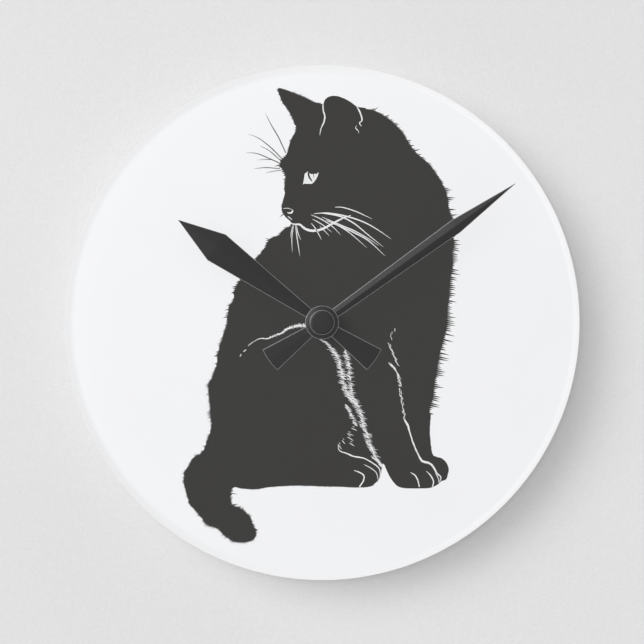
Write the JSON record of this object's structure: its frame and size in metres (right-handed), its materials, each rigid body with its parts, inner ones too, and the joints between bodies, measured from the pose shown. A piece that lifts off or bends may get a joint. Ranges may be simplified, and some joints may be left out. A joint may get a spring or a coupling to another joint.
{
  "type": "wall clock",
  "caption": "Round frameless wall clock: clear acrylic dial with a black seated cat printed behind it, dauphine hands with fan tails and a geared quartz movement on the back.",
  "frame": {"origin": "where the hands' axis meets the wall plane, on the flat back of the movement's rear cover", "axes": "+Y runs along the hands' axis into the wall, the dial faces -Y, +Z is twelve o'clock, +X is three o'clock"},
  "size_m": [0.2032, 0.0346, 0.2032],
  "materials": {
    "acrylic": "clear cast acrylic with polished edges",
    "white_ink": "opaque white backing print",
    "black_ink": "black print with soft furry edges and thin white lines",
    "hand_black": "satin black coated aluminium with a pressed centre ridge",
    "case_black": "fine spark-textured moulded plastic",
    "gear_white": "natural acetal gears and plate",
    "bobbin_grey": "moulded coil former",
    "brass": "turned brass",
    "steel": "zinc-plated pressed steel",
    "magnet": "sintered ferrite magnet",
    "copper": "enamelled copper wire",
    "board_green": "solder-masked glass-fibre board",
    "rubber": "moulded rubber washer",
    "cell_jacket": "plain printed battery jacket with bare ends"
  },
  "bodies": {
    "clock_body": {"acrylic_face": "acrylic", "white_backing": "white_ink", "cat_print": "black_ink", "dial_gasket": "rubber", "wall_hanger": "steel", "threaded_bushing": "brass", "dial_washer": "brass", "hex_nut": "brass", "case_shell": "case_black", "rear_cover": "case_black", "gear_plate": "gear_white", "stator": "steel", "coil_core": "steel", "coil_bobbin": "bobbin_grey", "coil_winding": "copper", "motor_screw_left": "steel", "motor_screw_right": "steel", "circuit_board": "board_green", "ic_chip": "case_black", "quartz_crystal": "steel", "coil_lead_a": "copper", "coil_lead_b": "copper", "battery_spring": "steel", "battery_contact_negative": "steel", "battery_contact_positive": "steel"},
    "minute_group": {"minute_hand": "hand_black", "minute_collet": "brass", "cap_nut": "hand_black", "minute_arbor": "brass", "friction_spring": "steel"},
    "hour_group": {"hour_hand": "hand_black", "hour_collet": "brass", "hour_wheel": "gear_white"},
    "motion_wheel": {"minute_wheel": "gear_white"},
    "setting_group": {"setting_knob": "case_black", "setting_pinion": "gear_white"},
    "seconds_group": {"seconds_wheel": "gear_white"},
    "third_group": {"third_wheel": "gear_white"},
    "centre_group": {"centre_wheel": "gear_white"},
    "fifth_group": {"fifth_wheel": "gear_white"},
    "rotor_group": {"rotor_pinion": "gear_white", "rotor_magnet": "magnet"},
    "battery_group": {"aa_battery": "cell_jacket"}
  },
  "joints": [
    {"name": "minute_hand_turn", "type": "hinge", "parent": "clock_body", "child": "minute_group", "pos_m": [0, -0.032, 0], "axis": [0, 1, 0], "continuous": true},
    {"name": "hour_hand_turn", "type": "hinge", "parent": "clock_body", "child": "hour_group", "pos_m": [0, -0.0295, 0], "axis": [0, 1, 0], "continuous": true},
    {"name": "minute_wheel_turn", "type": "hinge", "parent": "clock_body", "child": "motion_wheel", "pos_m": [-0.009, -0.012, 0], "axis": [0, 1, 0], "continuous": true},
    {"name": "setting_knob_turn", "type": "hinge", "parent": "clock_body", "child": "setting_group", "pos_m": [-0.01679, -0.002, 0.0045], "axis": [0, 1, 0], "continuous": true},
    {"name": "seconds_wheel_turn", "type": "hinge", "parent": "clock_body", "child": "seconds_group", "pos_m": [0, -0.005, 0], "axis": [0, 1, 0], "continuous": true},
    {"name": "third_wheel_turn", "type": "hinge", "parent": "clock_body", "child": "third_group", "pos_m": [-0.00585, -0.0065, 0.00836], "axis": [0, 1, 0], "continuous": true},
    {"name": "centre_wheel_turn", "type": "hinge", "parent": "clock_body", "child": "centre_group", "pos_m": [0, -0.0087, 0], "axis": [0, 1, 0], "continuous": true},
    {"name": "fifth_wheel_turn", "type": "hinge", "parent": "clock_body", "child": "fifth_group", "pos_m": [0.00952, -0.0035, 0.00444], "axis": [0, 1, 0], "continuous": true},
    {"name": "rotor_turn", "type": "hinge", "parent": "clock_body", "child": "rotor_group", "pos_m": [0.01185, -0.005, 0.01313], "axis": [0, 1, 0], "continuous": true},
    {"name": "battery_slide", "type": "slide", "parent": "clock_body", "child": "battery_group", "axis": [0, 1, 0], "range_m": [0, 0.02]}
  ],
  "couplings": [
    {"joint": "hour_hand_turn", "follows": "minute_hand_turn", "ratio": 0.083333},
    {"joint": "minute_wheel_turn", "follows": "minute_hand_turn", "ratio": -0.33333},
    {"joint": "setting_knob_turn", "follows": "minute_hand_turn", "ratio": 1},
    {"joint": "third_wheel_turn", "follows": "seconds_wheel_turn", "ratio": -0.13333},
    {"joint": "centre_wheel_turn", "follows": "seconds_wheel_turn", "ratio": 0.016667},
    {"joint": "fifth_wheel_turn", "follows": "seconds_wheel_turn", "ratio": -6},
    {"joint": "rotor_turn", "follows": "seconds_wheel_turn", "ratio": 30}
  ]
}
